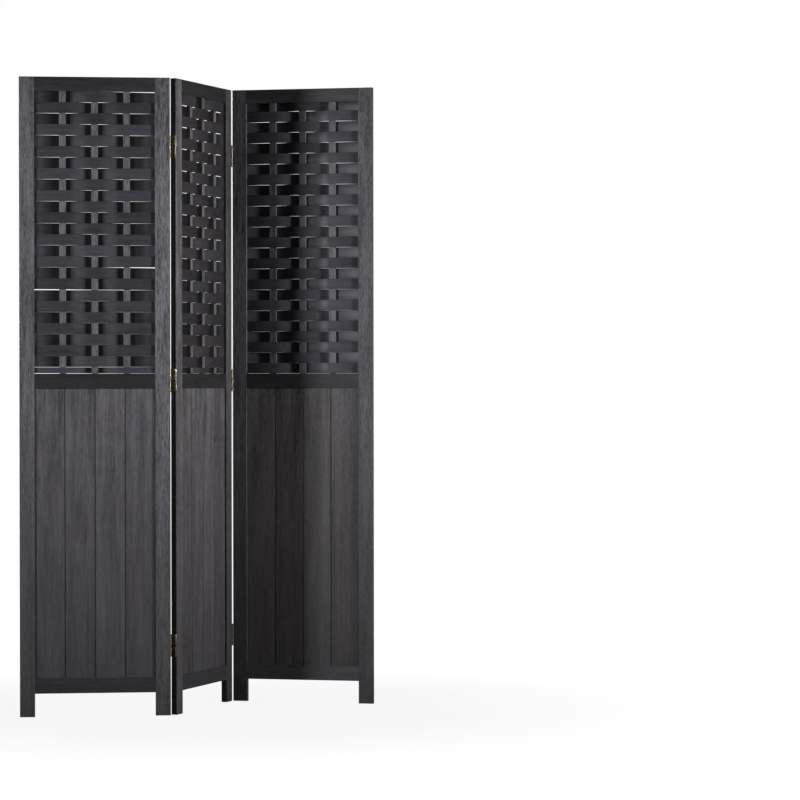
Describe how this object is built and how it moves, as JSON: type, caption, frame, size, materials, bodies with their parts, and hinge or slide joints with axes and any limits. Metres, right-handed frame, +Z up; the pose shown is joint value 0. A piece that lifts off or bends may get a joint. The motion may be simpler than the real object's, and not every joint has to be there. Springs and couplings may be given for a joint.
{
  "type": "folding screen",
  "caption": "Free-standing folding room divider of stained wood: framed panels with a woven strip upper field and tongue-and-groove planks below, joined by brass butt hinges.",
  "frame": {"origin": "on the floor, in the middle of the footprint of the zigzag rest pose", "axes": "+Z up, front towards -Y, +X from the left panel to the right panel"},
  "size_m": [0.918, 0.486, 1.7],
  "materials": {
    "frame_wood": "charcoal stain, semi-matte, grain showing",
    "plank_wood": "charcoal stain, semi-matte, grain showing",
    "weave_wood": "charcoal stain, satin",
    "hinge_brass": "satin, lightly tarnished",
    "screw_metal": "darkened"
  },
  "bodies": {
    "left_panel": {"left_panel_left_stile": "frame_wood", "left_panel_right_stile": "frame_wood", "left_panel_top_rail": "frame_wood", "left_panel_middle_rail": "frame_wood", "left_panel_bottom_rail": "frame_wood", "left_panel_plank_1": "plank_wood", "left_panel_plank_2": "plank_wood", "left_panel_plank_3": "plank_wood", "left_panel_plank_4": "plank_wood", "left_panel_stakes": "weave_wood", "left_panel_odd_strips": "weave_wood", "left_panel_even_strips": "weave_wood", "left_panel_screws": "screw_metal", "left_hinges_moving_leaves": "hinge_brass"},
    "middle_panel": {"middle_panel_left_stile": "frame_wood", "middle_panel_right_stile": "frame_wood", "middle_panel_top_rail": "frame_wood", "middle_panel_middle_rail": "frame_wood", "middle_panel_bottom_rail": "frame_wood", "middle_panel_plank_1": "plank_wood", "middle_panel_plank_2": "plank_wood", "middle_panel_plank_3": "plank_wood", "middle_panel_plank_4": "plank_wood", "middle_panel_stakes": "weave_wood", "middle_panel_odd_strips": "weave_wood", "middle_panel_even_strips": "weave_wood", "middle_panel_screws": "screw_metal", "left_hinges_fixed_leaves": "hinge_brass", "left_hinges_pins": "hinge_brass", "right_hinges_fixed_leaves": "hinge_brass", "right_hinges_pins": "hinge_brass"},
    "right_panel": {"right_panel_left_stile": "frame_wood", "right_panel_right_stile": "frame_wood", "right_panel_top_rail": "frame_wood", "right_panel_middle_rail": "frame_wood", "right_panel_bottom_rail": "frame_wood", "right_panel_plank_1": "plank_wood", "right_panel_plank_2": "plank_wood", "right_panel_plank_3": "plank_wood", "right_panel_plank_4": "plank_wood", "right_panel_stakes": "weave_wood", "right_panel_odd_strips": "weave_wood", "right_panel_even_strips": "weave_wood", "right_panel_screws": "screw_metal", "right_hinges_moving_leaves": "hinge_brass"}
  },
  "joints": [
    {"name": "left_fold", "type": "hinge", "parent": "middle_panel", "child": "left_panel", "pos_m": [-0.06487, -0.15582, 0.893], "axis": [0, 0, -1], "range_deg": [-64.5, 115.5]},
    {"name": "right_fold", "type": "hinge", "parent": "middle_panel", "child": "right_panel", "pos_m": [0.06143, 0.22549, 0.893], "axis": [0, 0, -1], "range_deg": [-84.5, 95.5]}
  ]
}
